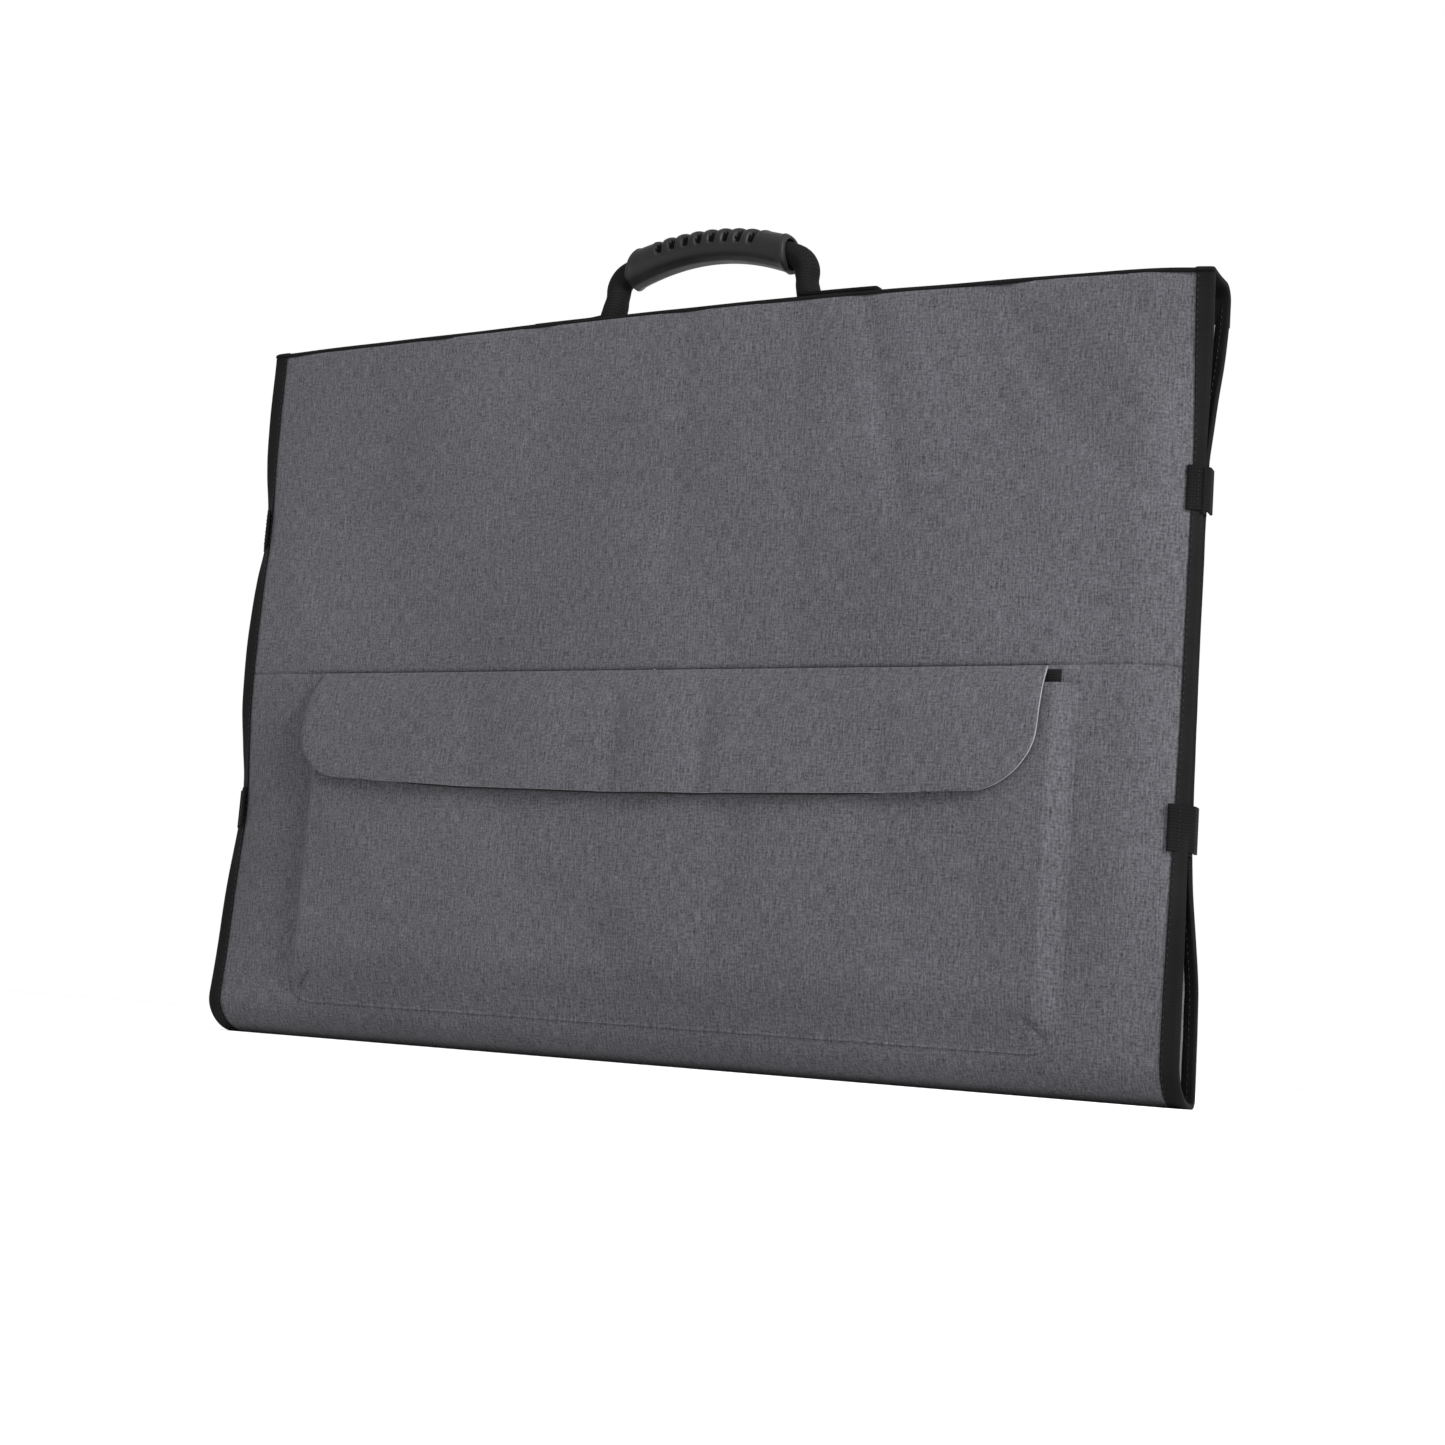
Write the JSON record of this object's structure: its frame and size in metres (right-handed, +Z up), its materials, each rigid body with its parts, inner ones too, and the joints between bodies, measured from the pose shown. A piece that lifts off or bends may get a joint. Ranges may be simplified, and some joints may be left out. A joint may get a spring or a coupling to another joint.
{
  "type": "portfolio case",
  "caption": "Flat soft-sided portfolio case with bound edges, flapped front pocket, side keepers and a ribbed top carrying handle.",
  "frame": {"origin": "middle of the whole case's footprint, on the surface that the bottom fold stands on", "axes": "+X to the right as seen from the front, the front cover faces -Y, +Z up"},
  "size_m": [0.648, 0.049, 0.5102],
  "materials": {
    "cover_fabric": "melange weave",
    "lining_fabric": "plain weave",
    "stiffener_board": "matt sheet",
    "edge_binding": "ribbed tape",
    "webbing": "woven webbing",
    "hook_and_loop": "brushed pile",
    "grip_rubber": "satin moulded"
  },
  "bodies": {
    "back_cover": {"back_panel": "cover_fabric", "back_board": "stiffener_board", "back_lining": "lining_fabric", "back_margin_left": "cover_fabric", "back_margin_right": "cover_fabric", "back_binding_left": "edge_binding", "back_binding_right": "edge_binding", "top_strip": "edge_binding", "top_strip_corner": "edge_binding", "top_strip_back": "edge_binding", "closure_lip": "edge_binding", "top_hook_tape": "hook_and_loop", "handle_tab_left": "webbing", "handle_tab_right": "webbing", "handle_backing": "stiffener_board", "keeper_back_left_lower": "webbing", "keeper_back_left_upper": "webbing", "keeper_back_right_lower": "webbing", "keeper_back_right_upper": "webbing"},
    "bottom_spine": {"bottom_fold": "cover_fabric", "spine_board": "stiffener_board", "spine_lining": "lining_fabric", "spine_binding_left": "edge_binding", "spine_binding_right": "edge_binding"},
    "front_cover": {"front_lower_panel": "cover_fabric", "front_upper_panel": "cover_fabric", "front_board": "stiffener_board", "front_lining": "lining_fabric", "front_margin_left": "cover_fabric", "front_margin_right": "cover_fabric", "front_binding_left": "edge_binding", "front_binding_right": "edge_binding", "top_loop_tape": "hook_and_loop", "pocket_face": "cover_fabric", "pocket_gusset": "cover_fabric", "pocket_hem": "cover_fabric", "pocket_loop_tabs": "hook_and_loop", "keeper_front_left_lower": "webbing", "keeper_front_left_upper": "webbing", "keeper_front_right_lower": "webbing", "keeper_front_right_upper": "webbing"},
    "pocket_flap": {"flap_outer": "cover_fabric", "flap_lining": "lining_fabric", "flap_hook_tabs": "hook_and_loop"},
    "handle": {"handle_webbing": "webbing", "handle_grip": "grip_rubber"}
  },
  "joints": [
    {"name": "spine_back_fold", "type": "hinge", "parent": "back_cover", "child": "bottom_spine", "pos_m": [0, 0.02293, 0.00107], "axis": [1, 0, 0], "range_deg": [0, 90]},
    {"name": "front_cover_fold", "type": "hinge", "parent": "bottom_spine", "child": "front_cover", "pos_m": [0, -0.00635, 0.00365], "axis": [1, 0, 0], "range_deg": [0, 90]},
    {"name": "flap_lift", "type": "hinge", "parent": "front_cover", "child": "pocket_flap", "pos_m": [0, -0.0112, 0.2322], "axis": [-1, 0, 0], "range_deg": [0, 115]},
    {"name": "handle_swing", "type": "hinge", "parent": "back_cover", "child": "handle", "pos_m": [0, 0.007, 0.4662], "axis": [1, 0, 0], "range_deg": [-88, 88]}
  ]
}
